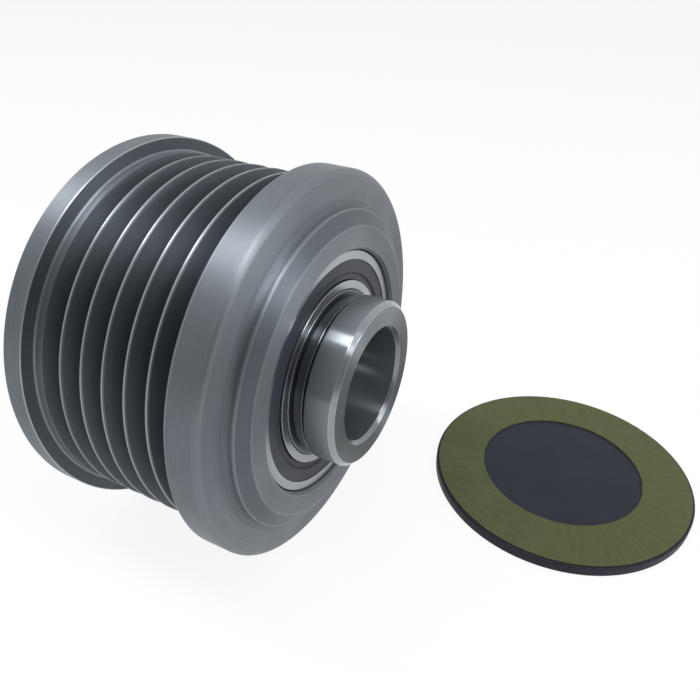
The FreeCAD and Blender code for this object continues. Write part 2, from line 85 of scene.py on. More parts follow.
class Slot(Enum):
    """The record's material slots of the pieces made here."""

    PULLEY_STEEL = "pulley_steel"
    HUB_STEEL = "hub_steel"
    BEARING_STEEL = "bearing_steel"
    SEAL_RUBBER = "seal_rubber"
    CAP_PLASTIC = "cap_plastic"
    GASKET_OLIVE = "gasket_olive"


# Node trees

class Sheet:
    """Adds and joins the nodes of one node tree."""

    def __init__(self, tree: NodeTree) -> None:
        """Work on a tree, from empty."""
        self.tree = tree
        self.tree.nodes.clear()

    def node(self, kind: str, *values: object, named: dict[str, object] | None = None,
             **options: object) -> Node:
        """Add a node, set its options and feed its inputs.

        Args:
            kind: the node's type name.
            values: a socket to join, a value or None for each input in order.
            named: the same for inputs by name.
            options: settings of the node by name.

        Returns:
            the new node.
        """
        made = self.tree.nodes.new(kind)
        for name, option in options.items():
            setattr(made, name, option)
        for socket, value in zip(made.inputs, values):
            self.feed(socket, value)
        for name, value in (named or {}).items():
            self.feed(made.inputs[name], value)
        return made

    def feed(self, socket: Socket, value: object) -> None:
        """Join a socket to another, or set it to a value.

        Args:
            socket: the input to feed.
            value: an output socket, a plain value or None.
        """
        if isinstance(value, Socket):
            self.tree.links.new(value, socket)
        elif value is not None:
            socket.default_value = value

    def math(self, operation: str, *values: object) -> Socket:
        """The result of a sum on one, two or three numbers or sockets."""
        return self.node("ShaderNodeMath", *values, operation=operation).outputs[0]

    def vector(self, x: object, y: object, z: object) -> Socket:
        """A vector from three numbers or sockets."""
        return self.node("ShaderNodeCombineXYZ", x, y, z).outputs[0]

    def split(self, vector: Socket) -> tuple[Socket, ...]:
        """The x, y and z of a vector."""
        return tuple(self.node("ShaderNodeSeparateXYZ", vector).outputs)

    def distance(self, first: Socket, second: Socket) -> Socket:
        """The length of a flat vector given by its two sides."""
        squares = self.math("MULTIPLY_ADD", first, first, self.math("MULTIPLY", second, second))
        return self.math("SQRT", squares)


@dataclass(frozen=True)
class Grain:
    """How fine a noise is, by its grains per unit and its finer layers, and its share in a tone."""

    scale: float
    detail: float
    share: float = 1.0


class Shader(Sheet):
    """The node tree of one material, with the few parts that all finishes share."""

    MIX_OTHERS = (None,) * 5
    MIX_OUTPUT = 2

    def __init__(self, name: str) -> None:
        """Start a material.

        Args:
            name: the material's name.
        """
        self.material = bpy.data.materials.new(name)
        self.material.use_nodes = True
        super().__init__(self.material.node_tree)
        self.place = self.node("ShaderNodeTexCoord").outputs["Object"]

    def noise(self, vector: Socket, grain: Grain) -> Socket:
        """Soft noise from 0 to 1, read at a vector."""
        inputs = {"Vector": vector, "Scale": grain.scale, "Detail": grain.detail}
        return self.node("ShaderNodeTexNoise", named=inputs).outputs[0]

    def tone(self, *layers: tuple[Socket, Grain]) -> Socket:
        """Add noises up.

        Args:
            layers: each noise with the grain that says its share.

        Returns:
            the sum.
        """
        total = 0.0
        for strength, grain in layers:
            total = self.math("MULTIPLY_ADD", strength, grain.share, total)
        return total

    def wear_and_painted_light(self) -> Socket:
        """The mark of the surface: from -1, painted shade in corners and recesses, to 1, edges made
        brighter partly by rubbing and partly as a painted highlight.
        """
        return self.node("ShaderNodeAttribute", attribute_name=WEAR_AND_PAINTED_LIGHT).outputs["Fac"]

    def span(self, value: object, low: float, high: float, edges: Pair = (0.0, 1.0)) -> Socket:
        """Map a number from the range of edges onto low to high, held at both ends."""
        return self.node("ShaderNodeMapRange", value, edges[0], edges[1], low, high).outputs[0]

    def blend(self, share: object, first: object, second: object) -> Socket:
        """A colour that is a share of the way from a first colour to a second."""
        values = (share, *self.MIX_OTHERS, opaque(first), opaque(second))
        return self.node("ShaderNodeMix", *values, data_type="RGBA").outputs[self.MIX_OUTPUT]

    def bump(self, height: Socket, depth: float) -> Socket:
        """The normals of a relief with a height from 0 to 1 and a depth in millimetres."""
        inputs = {"Strength": 1.0, "Distance": depth * MM, "Height": height}
        return self.node("ShaderNodeBump", named=inputs).outputs[0]

    def finish(self, **inputs: object) -> Material:
        """Close the tree with its surface.

        Args:
            inputs: inputs of the surface by name, with _ for a blank.

        Returns:
            the material.
        """
        named = {name.replace("_", " "): value for name, value in inputs.items()}
        surface = self.node("ShaderNodeBsdfPrincipled", named=named)
        self.node("ShaderNodeOutputMaterial", surface.outputs[0])
        return self.material


def opaque(colour: object) -> object:
    """A colour with its alpha, or a socket as it is."""
    return (*colour, 1.0) if isinstance(colour, tuple) else colour


# Finishes

@dataclass(frozen=True)
class TurnedSteel:
    """Steel with the fine rings that turning leaves round the shaft axis.

    Edges are brighter, partly rubbed bright by use and partly as a painted highlight, and smoother by
    the polish. Corners, recesses and the sides marked for it are darkened by painted shade, and faces
    across the axis may be rougher than the ground sides along it.
    """

    name: str
    colour: Colour
    shade: Colour
    roughness: float
    anisotropy: float
    # Edge colour: partly rubbed bright, partly a painted highlight.
    worn_and_painted_highlight: Colour = (0.6, 0.6, 0.6)
    # Colour of the painted shade in corners, recesses and marked sides.
    painted_shade_colour: Colour = (0.2, 0.2, 0.2)
    metallic: float = 1.0
    face_roughness: float = 0.42
    face_edges: Pair = (0.75, 0.95)
    polish: float = 0.3
    rings: Grain = Grain(5000.0, 4.0, 0.4)
    ring_depth: float = 0.002
    arc_share: float = 0.04
    blotches: Grain = Grain(90.0, 5.0, 0.6)
    tone_edges: Pair = (0.35, 0.65)
    rough_edges: Pair = (0.3, 0.7)
    rough_swing: Pair = (1.15, 0.85)

    def material(self) -> Material:
        """Build the finish.

        Returns:
            the material.
        """
        sheet = Shader(self.name)
        x, y, z = sheet.split(sheet.place)
        arcs = sheet.math("MULTIPLY", sheet.math("ADD", x, z), self.arc_share)
        rings = sheet.noise(sheet.vector(sheet.distance(x, z), y, arcs), self.rings)
        blotches = sheet.noise(sheet.place, self.blotches)
        tone = sheet.tone((rings, self.rings), (blotches, self.blotches))
        wear_and_painted_light = sheet.wear_and_painted_light()
        # bright: the share of edge colour, partly rubbing and partly painted highlight; dull: the share of
        # painted shade.
        bright = sheet.span(wear_and_painted_light, 0.0, 1.0)
        dull = sheet.span(wear_and_painted_light, 1.0, 0.0, (-1.0, 0.0))
        base = sheet.blend(sheet.span(tone, 0.0, 1.0, self.tone_edges), self.shade, self.colour)
        edged = sheet.blend(bright, base, self.worn_and_painted_highlight)
        swing = sheet.span(tone, *self.rough_swing, self.rough_edges)
        spread = sheet.math("MULTIPLY_ADD", bright, -self.polish, swing)
        return sheet.finish(
            Base_Color=sheet.blend(dull, edged, self.painted_shade_colour),
            Metallic=self.metallic,
            Roughness=sheet.math("MULTIPLY", spread, self.side_roughness(sheet)),
            Anisotropic=self.anisotropy, Anisotropic_Rotation=ACROSS_THE_RINGS,
            Tangent=self.way_round(sheet), Normal=sheet.bump(rings, self.ring_depth),
        )

    def side_roughness(self, sheet: Shader) -> Socket:
        """The roughness of a side, by how far it faces along the axis."""
        y = sheet.split(sheet.node("ShaderNodeTexCoord").outputs["Normal"])[1]
        return sheet.span(sheet.math("ABSOLUTE", y), self.roughness, self.face_roughness, self.face_edges)

    def way_round(self, sheet: Shader) -> Socket:
        """The direction round the shaft axis."""
        across = sheet.node("ShaderNodeVectorMath", sheet.place, SHAFT_AXIS, operation="CROSS_PRODUCT")
        return sheet.node("ShaderNodeVectorTransform", across.outputs[0],
                          convert_from="OBJECT", convert_to="WORLD").outputs[0]


@dataclass(frozen=True)
class Moulded:
    """Moulded plastic or rubber with a fine grain and a faint haze of handling."""

    name: str
    colour: Colour
    haze: Colour
    roughness: float
    gloss: float = 0.4
    grain: Grain = Grain(4000.0, 3.0)
    grain_depth: float = 0.01
    clouds: Grain = Grain(140.0, 6.0)
    cloud_edges: Pair = (0.4, 0.75)
    cloud_haze: float = 0.6
    edge_haze: float = 0.5
    rough_edges: Pair = (0.3, 0.7)
    rough_swing: Pair = (1.05, 0.95)

    def material(self) -> Material:
        """Build the finish.

        Returns:
            the material.
        """
        sheet = Shader(self.name)
        grain = sheet.noise(sheet.place, self.grain)
        cloud = sheet.noise(sheet.place, self.clouds)
        rub = sheet.span(sheet.wear_and_painted_light(), 0.0, self.edge_haze)
        share = sheet.math("MAXIMUM", sheet.span(cloud, 0.0, self.cloud_haze, self.cloud_edges), rub)
        dull, smooth = (self.roughness * factor for factor in self.rough_swing)
        return sheet.finish(
            Base_Color=sheet.blend(share, self.colour, self.haze),
            Roughness=sheet.span(cloud, dull, smooth, self.rough_edges),
            Specular_IOR_Level=self.gloss, Normal=sheet.bump(grain, self.grain_depth),
        )


@dataclass(frozen=True)
class GasketSheet:
    """Olive gasket sheet with faint streaks that run outwards from the middle of the cap."""

    name: str
    colour: Colour
    light: Colour
    dark: Colour
    roughness: float = 0.6
    gloss: float = 0.22
    streaks: Grain = Grain(34.0, 4.0, 0.45)
    broad_streaks: Grain = Grain(3.0, 3.0, 0.25)
    streak_change: float = 6.0
    flecks: Grain = Grain(900.0, 5.0, 0.3)
    fleck_depth: float = 0.02
    dark_edges: Pair = (0.36, 0.5)
    light_edges: Pair = (0.5, 0.64)
    rough_edges: Pair = (0.35, 0.65)
    rough_swing: Pair = (1.1, 0.9)

    def material(self) -> Material:
        """Build the finish.

        Returns:
            the material.
        """
        sheet = Shader(self.name)
        middle = (-CAP_CENTRE[0] * MM, -CAP_CENTRE[1] * MM, 0.0)
        x, y, _ = sheet.split(sheet.node("ShaderNodeMapping", sheet.place, middle).outputs[0])
        radius = sheet.distance(x, y)
        slow = sheet.math("MULTIPLY", radius, self.streak_change)
        fan = sheet.vector(sheet.math("DIVIDE", x, radius), sheet.math("DIVIDE", y, radius), slow)
        broad = sheet.noise(fan, self.broad_streaks)
        streaks = sheet.noise(fan, self.streaks)
        flecks = sheet.noise(sheet.place, self.flecks)
        tone = sheet.tone((broad, self.broad_streaks), (streaks, self.streaks), (flecks, self.flecks))
        low = sheet.blend(sheet.span(tone, 0.0, 1.0, self.dark_edges), self.dark, self.colour)
        dull, smooth = (self.roughness * factor for factor in self.rough_swing)
        return sheet.finish(
            Base_Color=sheet.blend(sheet.span(tone, 0.0, 1.0, self.light_edges), low, self.light),
            Roughness=sheet.span(tone, dull, smooth, self.rough_edges),
            Specular_IOR_Level=self.gloss, Normal=sheet.bump(flecks, self.fleck_depth),
        )


# Edge colours are partly rubbing and partly painted highlight; the darkest colour of each steel is painted
# shade.
PULLEY_STEEL = TurnedSteel(
    "turned_pulley_steel", colour=(0.184, 0.206, 0.231), shade=(0.160, 0.179, 0.202),
    worn_and_painted_highlight=(0.34, 0.365, 0.39), painted_shade_colour=(0.085, 0.099, 0.117),
    roughness=0.52, anisotropy=0.75, metallic=0.8, face_roughness=0.5,
)
HUB_STEEL = TurnedSteel(
    "ground_hub_steel", colour=(0.285, 0.312, 0.338), shade=(0.245, 0.269, 0.292),
    worn_and_painted_highlight=(0.38, 0.40, 0.42), painted_shade_colour=(0.06, 0.068, 0.078),
    roughness=0.22, anisotropy=0.9, metallic=0.8, face_roughness=0.4, ring_depth=0.0006,
)
RING_STEEL = TurnedSteel(
    "ground_bearing_steel", colour=(0.37, 0.39, 0.42), shade=(0.32, 0.335, 0.36),
    worn_and_painted_highlight=(0.42, 0.43, 0.44), painted_shade_colour=(0.10, 0.10, 0.11),
    roughness=0.28, anisotropy=0.4, face_roughness=0.32, ring_depth=0.001,
)
RACE_STEEL = TurnedSteel(
    "hardened_race_steel", colour=(0.42, 0.42, 0.43), shade=(0.30, 0.30, 0.31),
    roughness=0.25, anisotropy=0.3,
)
BALL_STEEL = TurnedSteel(
    "polished_ball_steel", colour=(0.72, 0.72, 0.74), shade=(0.60, 0.60, 0.62),
    roughness=0.08, anisotropy=0.0, face_roughness=0.08, ring_depth=0.0002,
)
SPRING_STEEL = TurnedSteel(
    "bright_spring_strip", colour=(0.55, 0.55, 0.53), shade=(0.42, 0.42, 0.40),
    roughness=0.3, anisotropy=0.0,
)
SEAL_RUBBER = Moulded("dark_seal_rubber", (0.022, 0.027, 0.038), (0.036, 0.042, 0.056), 0.5)
CAP_PLASTIC = Moulded("black_moulded_plastic", (0.010, 0.012, 0.021), (0.014, 0.016, 0.027), 0.5, 0.22)
CAGE_PLASTIC = Moulded("glass_filled_cage_plastic", (0.05, 0.045, 0.04), (0.09, 0.085, 0.075), 0.5)
GASKET = GasketSheet(
    "olive_gasket_sheet", colour=(0.067, 0.080, 0.031),
    light=(0.075, 0.088, 0.037), dark=(0.060, 0.072, 0.026),
)


# Turned sections

@dataclass(frozen=True)
class Corner:
    """A corner of a turned section, with its rounding and the side that follows it.

    That side is darkened by painted shade at values up to 1 and brightened at -1, partly as rubbing
    and partly as a painted highlight, and cut into as many parts as it has rungs. The corner has a mark
    of its own where the usual one doesn't fit.
    """

    station: float
    radius: float
    rounding: float = 0.05
    # Painted shade on the following side, up to 1; at -1 the side is brightened, partly as rubbing and
    # partly as a painted highlight.
    painted_side_shade: float = 0.0
    rungs: int = 1
    # The corner's own mark: painted shade below 0, and above 0 a brighter edge, partly rubbing and partly
    # painted highlight.
    wear_and_painted_light: float | None = None

    def spot(self) -> Vector:
        """The corner's place in the section."""
        return Vector((self.station, self.radius))


@dataclass
class Section:
    """The outline of a turned piece, corner by corner, closed unless it starts and ends on the axis."""

    corners: list[Corner]
    closed: bool = True
    arc_step: float = math.radians(20.0)
    side_share: float = 0.42
    support_share: float = 0.04
    sharp_rounding: float = 0.12
    least_slope: float = 1e-6

    def outline(self) -> list[Triple]:
        """Round every corner.

        Returns:
            the points of the outline as (station, radius, mark), where the mark is 1 on a sharp edge that
            stands out, brighter partly by rubbing and partly as a painted highlight, and -1 for painted
            shade in a corner that is cut in.
        """
        count = len(self.corners)
        turns = 1.0 if self.area() > 0 else -1.0
        points: list[Triple] = []
        for index, corner in enumerate(self.corners):
            after = self.corners[(index + 1) % count]
            if self.closed or 0 < index < count - 1:
                points += self.rounded(self.corners[index - 1], corner, after, turns)
            else:
                points.append((corner.station, corner.radius, -corner.painted_side_shade))
            for rung in range(1, corner.rungs):
                step = corner.spot().lerp(after.spot(), rung / corner.rungs)
                points.append((step.x, step.y, -corner.painted_side_shade))
        return points

    def area(self) -> float:
        """Twice the area inside the outline, above 0 where it runs counter-clockwise."""
        pairs = zip([self.corners[-1], *self.corners], self.corners)
        return sum(start.station * end.radius - end.station * start.radius for start, end in pairs)

    def rounded(self, before: Corner, corner: Corner, after: Corner, turns: float) -> list[Triple]:
        """The arc that rounds one corner, with a point on each side that keeps the sides flat.

        Args:
            before: the corner before.
            corner: the corner to round.
            after: the corner after.
            turns: the way the whole outline runs, 1 or -1.

        Returns:
            the arc's points as (station, radius, mark).
        """
        here = corner.spot()
        come = here - before.spot()
        leave = after.spot() - here
        turn = math.atan2(come.x * leave.y - come.y * leave.x, come.dot(leave))
        slope = math.tan(abs(turn) / 2)
        shorter = min(come.length, leave.length)
        reach = min(corner.rounding * slope, self.side_share * shorter)
        radius = reach / max(slope, self.least_slope)
        come.normalize()
        leave.normalize()
        side = 1.0 if turn > 0 else -1.0
        centre = here - come * reach + Vector((-come.y, come.x)) * side * radius
        spoke = here - come * reach - centre
        steps = max(2, math.ceil(abs(turn) / self.arc_step))
        wear_and_painted_light = self.usual_wear_and_painted_light(corner, turns * side) if corner.wear_and_painted_light is None else corner.wear_and_painted_light
        margin = min(reach / 2, self.support_share * shorter)
        start = here - come * (reach + margin)
        points = [(start.x, start.y, -before.painted_side_shade)]
        for step in range(steps + 1):
            arm = spoke.copy()
            arm.rotate(Matrix.Rotation(turn * step / steps, 2))
            spot = centre + arm
            points.append((spot.x, spot.y, wear_and_painted_light))
        end = here + leave * (reach + margin)
        points.append((end.x, end.y, -corner.painted_side_shade))
        return points

    def usual_wear_and_painted_light(self, corner: Corner, outward: float) -> float:
        """The mark of a corner: brighter where it stands out sharply, partly by rubbing and partly as a
        painted highlight, and painted shade where it is cut in.
        """
        return -1.0 if outward < 0 else min(1.0, (self.sharp_rounding / corner.rounding) ** 2)


class PieceTree(Sheet):
    """A geometry tree with named inputs that makes or reshapes one piece."""

    NAME = ""
    INPUTS: dict[str, str] = {}

    def __init__(self) -> None:
        """Build the tree with its named inputs."""
        super().__init__(bpy.data.node_groups.new(self.NAME, "GeometryNodeTree"))
        self.inputs = {name: self.socket(name, kind, "INPUT") for name, kind in self.INPUTS.items()}
        self.socket("Piece", "Geometry", "OUTPUT")
        given = self.node("NodeGroupInput").outputs
        real = self.node("GeometryNodeRealizeInstances", self.shape(given)).outputs[0]
        dressed = self.node("GeometryNodeSetMaterial", real, None, given["Finish"]).outputs[0]
        self.node("NodeGroupOutput", dressed)

    def socket(self, name: str, kind: str, way: str) -> str:
        """Add a named input or output, and tell its identifier."""
        return self.tree.interface.new_socket(name, in_out=way, socket_type="NodeSocket" + kind).identifier

    def shape(self, given: NodeOutputs) -> Socket:
        """Add the nodes that make the piece from the tree's inputs."""
        raise NotImplementedError


class TurningTree(PieceTree):
    """The geometry tree that turns an outline once round the shaft axis."""

    NAME = "turned_piece"
    INPUTS = {"Outline": "Geometry", "Rows": "Int", "Steps round": "Int", "Finish": "Material"}

    def shape(self, given: NodeOutputs) -> Socket:
        """Wrap a grid round the axis, with a row for each point of the outline.

        Args:
            given: the tree's inputs.

        Returns:
            the piece, smooth and marked with its painted shade and brightened edges.
        """
        columns = self.math("ADD", given["Steps round"], 1.0)
        grid = self.node("GeometryNodeMeshGrid", 1.0, 1.0, given["Rows"], columns).outputs[0]
        index = self.node("GeometryNodeInputIndex").outputs[0]
        size = self.node("GeometryNodeAttributeDomainSize", given["Outline"]).outputs["Point Count"]
        row = self.math("FLOOR", self.math("DIVIDE", self.math("ADD", index, 0.5), columns))
        column = self.math("SUBTRACT", index, self.math("MULTIPLY", row, columns))
        position = self.node("GeometryNodeInputPosition").outputs[0]
        asked = {"Geometry": given["Outline"], "Value": position, "Index": self.math("MODULO", row, size)}
        spot = self.node("GeometryNodeSampleIndex", named=asked, data_type="FLOAT_VECTOR")
        radius, along, wear_and_painted_light = self.split(spot.outputs[0])
        turn = self.math("DIVIDE", self.math("MULTIPLY", column, math.tau), given["Steps round"])
        x = self.math("MULTIPLY", radius, self.math("COSINE", turn))
        z = self.math("MULTIPLY", radius, self.math("SINE", turn))
        placed = self.node("GeometryNodeSetPosition", grid, None, self.vector(x, along, z)).outputs[0]
        mark = {"Name": WEAR_AND_PAINTED_LIGHT, "Value": wear_and_painted_light}
        marked = self.node("GeometryNodeStoreNamedAttribute", placed, named=mark).outputs[0]
        merged = self.node("GeometryNodeMergeByDistance", marked, named={"Distance": MERGE_DISTANCE})
        return self.node("GeometryNodeSetShadeSmooth", merged.outputs[0]).outputs[0]


class BoreTree(PieceTree):
    """The geometry tree that cuts a thread and a ring of splines into the bore of a turned piece.

    A thread's profile is a zigzag, steeper by the flank's slope and lowered by its start, and held
    between 0 and 1, so it has a flat at its crest and at its root.
    """

    NAME = "threaded_and_splined_bore"
    SIZES = ("Bore limit", "Thread radius", "Thread depth", "Thread pitch", "Thread from", "Thread to",
             "Spline radius", "Spline depth", "Spline count", "Splines to")
    INPUTS = {"Piece": "Geometry", **dict.fromkeys(SIZES, "Float"), "Finish": "Material"}
    FLANK_SLOPE = 1.5
    FLANK_START = -0.25

    def shape(self, given: NodeOutputs) -> Socket:
        """Push the wall of the bore outwards, to the thread and to the splines.

        Args:
            given: the tree's inputs.

        Returns:
            the piece with its thread and splines.
        """
        x, y, z = self.split(self.node("GeometryNodeInputPosition").outputs[0])
        radius = self.distance(x, z)
        station = self.math("MULTIPLY", y, -1.0)
        turn = self.math("DIVIDE", self.math("ARCTAN2", z, x), math.tau)
        pitch = given["Thread pitch"]
        ridge = self.wave(self.math("SUBTRACT", self.math("DIVIDE", station, pitch), turn))
        start = self.math("DIVIDE", self.math("SUBTRACT", station, given["Thread from"]), pitch)
        end = self.math("DIVIDE", self.math("SUBTRACT", given["Thread to"], station), pitch)
        nearest = self.math("MINIMUM", start, end)
        flank = self.held(self.math("MULTIPLY_ADD", ridge, self.FLANK_SLOPE, self.FLANK_START))
        cut = self.math("MULTIPLY", self.math("MULTIPLY", flank, self.held(nearest)), given["Thread depth"])
        thread = self.math("ADD", given["Thread radius"], cut)
        tooth = self.wave(self.math("MULTIPLY", turn, given["Spline count"]))
        spline = self.math("MULTIPLY_ADD", tooth, given["Spline depth"], given["Spline radius"])
        in_socket = self.math("LESS_THAN", station, given["Splines to"])
        threaded = self.math("MULTIPLY", thread, self.math("GREATER_THAN", nearest, 0.0))
        wall = self.math("MAXIMUM", threaded, self.math("MULTIPLY", spline, in_socket))
        wanted = self.math("MAXIMUM", radius, wall)
        growth = self.math("DIVIDE", wanted, self.math("MAXIMUM", radius, MM))
        moved = self.vector(self.math("MULTIPLY", x, growth), y, self.math("MULTIPLY", z, growth))
        inside = self.math("LESS_THAN", radius, given["Bore limit"])
        return self.node("GeometryNodeSetPosition", given["Piece"], inside, moved).outputs[0]

    def wave(self, phase: Socket) -> Socket:
        """A zigzag that is 0 at whole phases and 1 half way between them."""
        swing = self.math("MULTIPLY_ADD", self.math("FRACT", phase), 2.0, -1.0)
        return self.math("SUBTRACT", 1.0, self.math("ABSOLUTE", swing))

    def held(self, value: Socket) -> Socket:
        """A number held between 0 and 1."""
        return self.math("MINIMUM", self.math("MAXIMUM", value, 0.0), 1.0)


# Workshop

def added(name: str, data: ID) -> Object:
    """Put a new object in the scene.

    Args:
        name: the object's name.
        data: its mesh, light or camera.

    Returns:
        the object.
    """
    made = bpy.data.objects.new(name, data)
    bpy.context.scene.collection.objects.link(made)
    return made


@dataclass
class Workshop:
    """Turns sections into finished pieces and hands them to the frame."""

    turning: TurningTree = field(default_factory=TurningTree)
    bore: BoreTree = field(default_factory=BoreTree)
    crease: float = math.radians(38.0)

    def turned(self, name: str, section: Section, steps: int, finish: Material) -> Object:
        """Turn a section round the shaft axis.

        Args:
            name: the piece's name.
            section: its outline.
            steps: the number of steps round.
            finish: its material.

        Returns:
            the piece, still with its modifier.
        """
        outline = section.outline()
        mesh = bpy.data.meshes.new(name)
        mesh.from_pydata([(radius * MM, -station * MM, wear_and_painted_light) for station, radius, wear_and_painted_light in outline], [], [])
        piece = added(name, mesh)
        rows = len(outline) + (1 if section.closed else 0)
        self.modify(piece, self.turning, {"Rows": rows, "Steps round": steps, "Finish": finish})
        return piece

    def modify(self, piece: Object, tree: PieceTree, values: dict[str, object]) -> None:
        """Put a geometry tree on a piece.

        Args:
            piece: the piece.
            tree: the tree to use.
            values: its inputs by name.
        """
        modifier = piece.modifiers.new(tree.NAME, "NODES")
        modifier.node_group = tree.tree
        for name, value in values.items():
            modifier[tree.inputs[name]] = value

    def settle(self, piece: Object, place: Matrix | None = None) -> Object:
        """Turn a piece's modifiers into a plain closed mesh with its faces outwards.

        Args:
            piece: the piece.
            place: where the mesh goes, if not where it is.

        Returns:
            the same piece.
        """
        bpy.context.view_layer.update()
        seen = piece.evaluated_get(bpy.context.evaluated_depsgraph_get())
        mesh = bpy.data.meshes.new_from_object(seen)
        piece.modifiers.clear()
        if place is not None:
            mesh.transform(place)
        shell = bmesh.new()
        shell.from_mesh(mesh)
        if shell.calc_volume(signed=True) < 0:
            bmesh.ops.reverse_faces(shell, faces=shell.faces)
        shell.to_mesh(mesh)
        shell.free()
        mesh.set_sharp_from_angle(angle=self.crease)
        mesh.name = piece.name
        piece.data = mesh
        LOG.info("%s: %d faces", piece.name, len(mesh.polygons))
        return piece

    def hand_over(self, piece: Object, body: Body, node: str) -> None:
        """Let a finished piece stand for a node of the frame.

        Args:
            piece: the piece.
            body: the body that it rides on.
            node: the node that it stands for.
        """
        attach(piece, body.value)
        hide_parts(node)


# The pulley and its pieces

@dataclass
class PulleyRing:
    """The turned pulley: six V grooves, two flanges, nose boss, bearing bore and seat for the dust cap."""

    steps: int = 288
    grooves: int = 6
    pitch: float = 3.56
    crest_width: float = 0.48
    crest_rounding: float = 0.2
    # Painted shade on the crests' roundings, which keeps their bright flat thin.
    crest_painted_shade: float = -0.4
    half_angle: float = math.radians(20.0)
    root_rounding: float = 0.5
    crest_radius: float = 27.0292
    cap_end: float = -15.2
    cap_wall: Pair = (-11.77, -11.6)
    cap_chamfer: float = 0.4
    nose_wall: float = 10.866
    nose_rim_radius: float = 28.1992
    nose_rim_edge: float = 11.666
    nose_face: float = 16.286
    nose_rim_rounding: float = 0.7
    # Rim and boss edges made brighter, partly by rubbing and partly as a painted highlight.
    nose_wear_and_painted_highlight: float = 0.12
    boss_foot: float = 24.0
    boss_foot_rounding: float = 0.9
    # Painted shade in the corner at the boss's foot, and on the boss's taper.
    foot_painted_shade: float = -0.35
    taper_painted_shade: float = 0.7
    boss_rounding: float = 0.4
    boss_shoulder: float = 17.566
    boss_face: float = 18.716
    boss_face_radius: float = 21.8
    bore_chamfer: float = 0.35
    seat_radius: float = 23.3
    seat_floor: float = -12.7
    seat_rounding: float = 0.1
    edge: float = 0.12
    side_share: float = 0.75
    # Painted shade on the groove flanks and on the cap flange's inner wall.
    wall_painted_shade: float = 0.9
    land_rounding: float = 0.25
    # The land's edge made brighter, partly by rubbing and partly as a painted highlight.
    land_wear_and_painted_highlight: float = 0.3

    def section(self) -> Section:
        """Draw the pulley.

        Returns:
            its outline.
        """
        wear_and_painted_light = self.nose_wear_and_painted_highlight
        return Section([
            Corner(self.cap_end, self.seat_radius + self.bore_chamfer),
            Corner(self.cap_end, FLANGE_RADIUS - self.cap_chamfer, self.edge),
            Corner(self.cap_end + self.cap_chamfer, FLANGE_RADIUS, self.edge),
            Corner(self.cap_wall[0], FLANGE_RADIUS, self.edge, self.wall_painted_shade),
            Corner(self.cap_wall[1], self.crest_radius, self.land_rounding, wear_and_painted_light=self.land_wear_and_painted_highlight),
            *self.belt_track(),
            Corner(self.nose_wall, self.nose_rim_radius, self.edge),
            Corner(self.nose_rim_edge, FLANGE_RADIUS, self.edge),
            Corner(self.nose_face, FLANGE_RADIUS, self.nose_rim_rounding, wear_and_painted_light=wear_and_painted_light),
            Corner(self.nose_face, self.boss_foot, self.boss_foot_rounding, wear_and_painted_light=self.foot_painted_shade),
            Corner(self.boss_shoulder, self.boss_foot, self.boss_rounding, self.taper_painted_shade, wear_and_painted_light=wear_and_painted_light),
            Corner(self.boss_face, self.boss_face_radius, self.boss_rounding, wear_and_painted_light=wear_and_painted_light),
            Corner(self.boss_face, BEARING_OUTER_RADIUS + self.bore_chamfer),
            Corner(self.boss_face - self.bore_chamfer, BEARING_OUTER_RADIUS),
            Corner(self.seat_floor, BEARING_OUTER_RADIUS),
            Corner(self.seat_floor, self.seat_radius, self.seat_rounding),
            Corner(self.cap_end + self.bore_chamfer, self.seat_radius),
        ], side_share=self.side_share)

    def belt_track(self) -> list[Corner]:
        """Draw the V grooves, from the cap side on.

        Returns:
            their corners, up to the root of the last groove, whose far side is the nose flange's wall.
        """
        run = (self.pitch - self.crest_width) / 2
        root = self.crest_radius - run / math.tan(self.half_angle)
        crest = Corner(0.0, self.crest_radius, self.crest_rounding, wear_and_painted_light=self.crest_painted_shade)
        corners = []
        for index in range(self.grooves):
            middle = (index - (self.grooves - 1) / 2) * self.pitch
            # Painted shade on both flanks; the crest flat after the groove is brightened, partly by rubbing
            # and partly as a painted highlight.
            corners += [
                replace(crest, station=middle - run, painted_side_shade=self.wall_painted_shade),
                Corner(middle, root, self.root_rounding, self.wall_painted_shade),
                replace(crest, station=middle + run, painted_side_shade=-1.0),
            ]
        return corners[:-1]

    def build(self, shop: Workshop) -> None:
        """Make the pulley and hand it over."""
        piece = shop.turned("turned_pulley_ring", self.section(), self.steps, PULLEY_STEEL.material())
        shop.hand_over(shop.settle(piece), Body.PULLEY, "pulley_ring")


